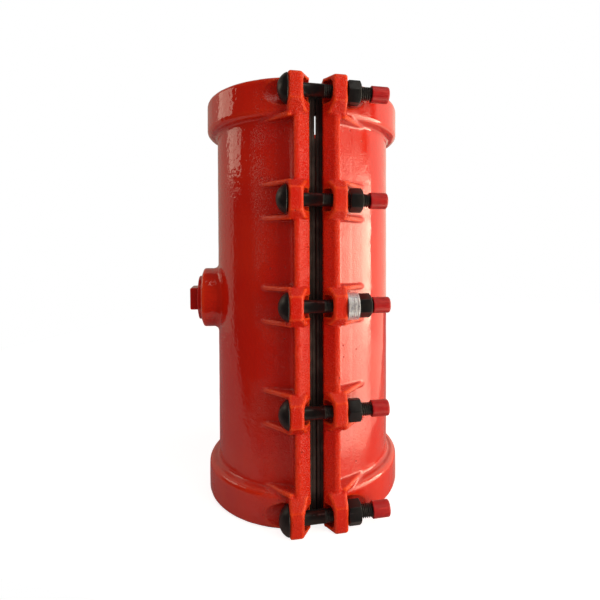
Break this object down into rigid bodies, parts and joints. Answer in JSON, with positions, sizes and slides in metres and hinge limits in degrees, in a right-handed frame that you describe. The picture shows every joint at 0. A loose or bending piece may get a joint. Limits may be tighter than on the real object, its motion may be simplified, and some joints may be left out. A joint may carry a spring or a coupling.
{
  "type": "pipe repair clamp",
  "caption": "Two-half bolted cast iron clamp with rubber seals that closes round a leaking pipe, with a plugged vent boss on one side.",
  "frame": {"origin": "on the pipe's axis, at the middle of the clamp's length", "axes": "+Z along the pipe, +X across the joint from the bolt heads to the nuts; the front row of bolts is on the -Y side"},
  "size_m": [0.2204, 0.232, 0.4],
  "materials": {
    "red_epoxy_iron": "glossy red epoxy over rough cast iron",
    "red_epoxy_plug": "glossy dark red epoxy over cast iron",
    "black_oxide_steel": "oiled black oxide",
    "zinc_steel": "bright zinc",
    "black_rubber": "matt moulded rubber",
    "red_plastic": "soft satin vinyl"
  },
  "bodies": {
    "left_half": {"half_shell_left": "red_epoxy_iron", "gasket_left": "black_rubber", "bolt_front_1": "black_oxide_steel", "bolt_front_2": "black_oxide_steel", "bolt_front_3": "black_oxide_steel", "bolt_front_4": "black_oxide_steel", "bolt_front_5": "black_oxide_steel", "bolt_rear_1": "black_oxide_steel", "bolt_rear_2": "black_oxide_steel", "bolt_rear_3": "black_oxide_steel", "bolt_rear_4": "black_oxide_steel", "bolt_rear_5": "black_oxide_steel"},
    "right_half": {"half_shell_right": "red_epoxy_iron", "gasket_right": "black_rubber", "washer_1": "zinc_steel", "washer_2": "zinc_steel", "washer_3": "zinc_steel", "washer_4": "zinc_steel", "washer_5": "zinc_steel", "washer_6": "zinc_steel"},
    "vent_plug": {"vent_plug": "red_epoxy_plug"},
    "nut_front_1": {"nut_front_1": "black_oxide_steel"},
    "nut_front_2": {"nut_front_2": "black_oxide_steel"},
    "nut_front_3": {"nut_front_3": "black_oxide_steel"},
    "nut_front_4": {"nut_front_4": "black_oxide_steel"},
    "nut_front_5": {"nut_front_5": "black_oxide_steel"},
    "nut_rear_1": {"nut_rear_1": "black_oxide_steel"},
    "nut_rear_2": {"nut_rear_2": "black_oxide_steel"},
    "nut_rear_3": {"nut_rear_3": "black_oxide_steel"},
    "nut_rear_4": {"nut_rear_4": "black_oxide_steel"},
    "nut_rear_5": {"nut_rear_5": "black_oxide_steel"},
    "cap_front_1": {"cap_front_1": "red_plastic"},
    "cap_front_2": {"cap_front_2": "red_plastic"},
    "cap_front_3": {"cap_front_3": "red_plastic"},
    "cap_front_4": {"cap_front_4": "red_plastic"},
    "cap_front_5": {"cap_front_5": "red_plastic"},
    "cap_rear_1": {"cap_rear_1": "red_plastic"},
    "cap_rear_2": {"cap_rear_2": "red_plastic"},
    "cap_rear_3": {"cap_rear_3": "red_plastic"},
    "cap_rear_4": {"cap_rear_4": "red_plastic"},
    "cap_rear_5": {"cap_rear_5": "red_plastic"}
  },
  "joints": [
    {"name": "halves_open", "type": "slide", "parent": "left_half", "child": "right_half", "axis": [1, 0, 0], "range_m": [-0.0007, 0.0015]},
    {"name": "vent_plug_out", "type": "slide", "parent": "left_half", "child": "vent_plug", "axis": [-1, 0, 0], "range_m": [0, 0.022]},
    {"name": "nut_front_1_turn", "type": "hinge", "parent": "right_half", "child": "nut_front_1", "pos_m": [0.03, -0.103, 0.187], "axis": [1, 0, 0], "range_deg": [-155, 320]},
    {"name": "cap_front_1_pull", "type": "slide", "parent": "left_half", "child": "cap_front_1", "axis": [1, 0, 0], "range_m": [0, 0.016]},
    {"name": "nut_front_2_turn", "type": "hinge", "parent": "right_half", "child": "nut_front_2", "pos_m": [0.03, -0.103, 0.0925], "axis": [1, 0, 0], "range_deg": [-155, 320]},
    {"name": "cap_front_2_pull", "type": "slide", "parent": "left_half", "child": "cap_front_2", "axis": [1, 0, 0], "range_m": [0, 0.016]},
    {"name": "nut_front_3_turn", "type": "hinge", "parent": "right_half", "child": "nut_front_3", "pos_m": [0.03, -0.103, -0.001], "axis": [1, 0, 0], "range_deg": [-155, 320]},
    {"name": "cap_front_3_pull", "type": "slide", "parent": "left_half", "child": "cap_front_3", "axis": [1, 0, 0], "range_m": [0, 0.016]},
    {"name": "nut_front_4_turn", "type": "hinge", "parent": "right_half", "child": "nut_front_4", "pos_m": [0.03, -0.103, -0.0945], "axis": [1, 0, 0], "range_deg": [-155, 320]},
    {"name": "cap_front_4_pull", "type": "slide", "parent": "left_half", "child": "cap_front_4", "axis": [1, 0, 0], "range_m": [0, 0.016]},
    {"name": "nut_front_5_turn", "type": "hinge", "parent": "right_half", "child": "nut_front_5", "pos_m": [0.03, -0.103, -0.187], "axis": [1, 0, 0], "range_deg": [-155, 320]},
    {"name": "cap_front_5_pull", "type": "slide", "parent": "left_half", "child": "cap_front_5", "axis": [1, 0, 0], "range_m": [0, 0.016]},
    {"name": "nut_rear_1_turn", "type": "hinge", "parent": "right_half", "child": "nut_rear_1", "pos_m": [0.03, 0.103, 0.187], "axis": [1, 0, 0], "range_deg": [-155, 320]},
    {"name": "cap_rear_1_pull", "type": "slide", "parent": "left_half", "child": "cap_rear_1", "axis": [1, 0, 0], "range_m": [0, 0.016]},
    {"name": "nut_rear_2_turn", "type": "hinge", "parent": "right_half", "child": "nut_rear_2", "pos_m": [0.03, 0.103, 0.0925], "axis": [1, 0, 0], "range_deg": [-155, 320]},
    {"name": "cap_rear_2_pull", "type": "slide", "parent": "left_half", "child": "cap_rear_2", "axis": [1, 0, 0], "range_m": [0, 0.016]},
    {"name": "nut_rear_3_turn", "type": "hinge", "parent": "right_half", "child": "nut_rear_3", "pos_m": [0.03, 0.103, -0.001], "axis": [1, 0, 0], "range_deg": [-155, 320]},
    {"name": "cap_rear_3_pull", "type": "slide", "parent": "left_half", "child": "cap_rear_3", "axis": [1, 0, 0], "range_m": [0, 0.016]},
    {"name": "nut_rear_4_turn", "type": "hinge", "parent": "right_half", "child": "nut_rear_4", "pos_m": [0.03, 0.103, -0.0945], "axis": [1, 0, 0], "range_deg": [-155, 320]},
    {"name": "cap_rear_4_pull", "type": "slide", "parent": "left_half", "child": "cap_rear_4", "axis": [1, 0, 0], "range_m": [0, 0.016]},
    {"name": "nut_rear_5_turn", "type": "hinge", "parent": "right_half", "child": "nut_rear_5", "pos_m": [0.03, 0.103, -0.187], "axis": [1, 0, 0], "range_deg": [-155, 320]},
    {"name": "cap_rear_5_pull", "type": "slide", "parent": "left_half", "child": "cap_rear_5", "axis": [1, 0, 0], "range_m": [0, 0.016]}
  ],
  "couplings": [
    {"joint": "nut_front_1_turn", "follows": "halves_open", "rad_per_m": 3590.4},
    {"joint": "nut_front_2_turn", "follows": "halves_open", "rad_per_m": 3590.4},
    {"joint": "nut_front_3_turn", "follows": "halves_open", "rad_per_m": 3590.4},
    {"joint": "nut_front_4_turn", "follows": "halves_open", "rad_per_m": 3590.4},
    {"joint": "nut_front_5_turn", "follows": "halves_open", "rad_per_m": 3590.4},
    {"joint": "nut_rear_1_turn", "follows": "halves_open", "rad_per_m": 3590.4},
    {"joint": "nut_rear_2_turn", "follows": "halves_open", "rad_per_m": 3590.4},
    {"joint": "nut_rear_3_turn", "follows": "halves_open", "rad_per_m": 3590.4},
    {"joint": "nut_rear_4_turn", "follows": "halves_open", "rad_per_m": 3590.4},
    {"joint": "nut_rear_5_turn", "follows": "halves_open", "rad_per_m": 3590.4}
  ]
}
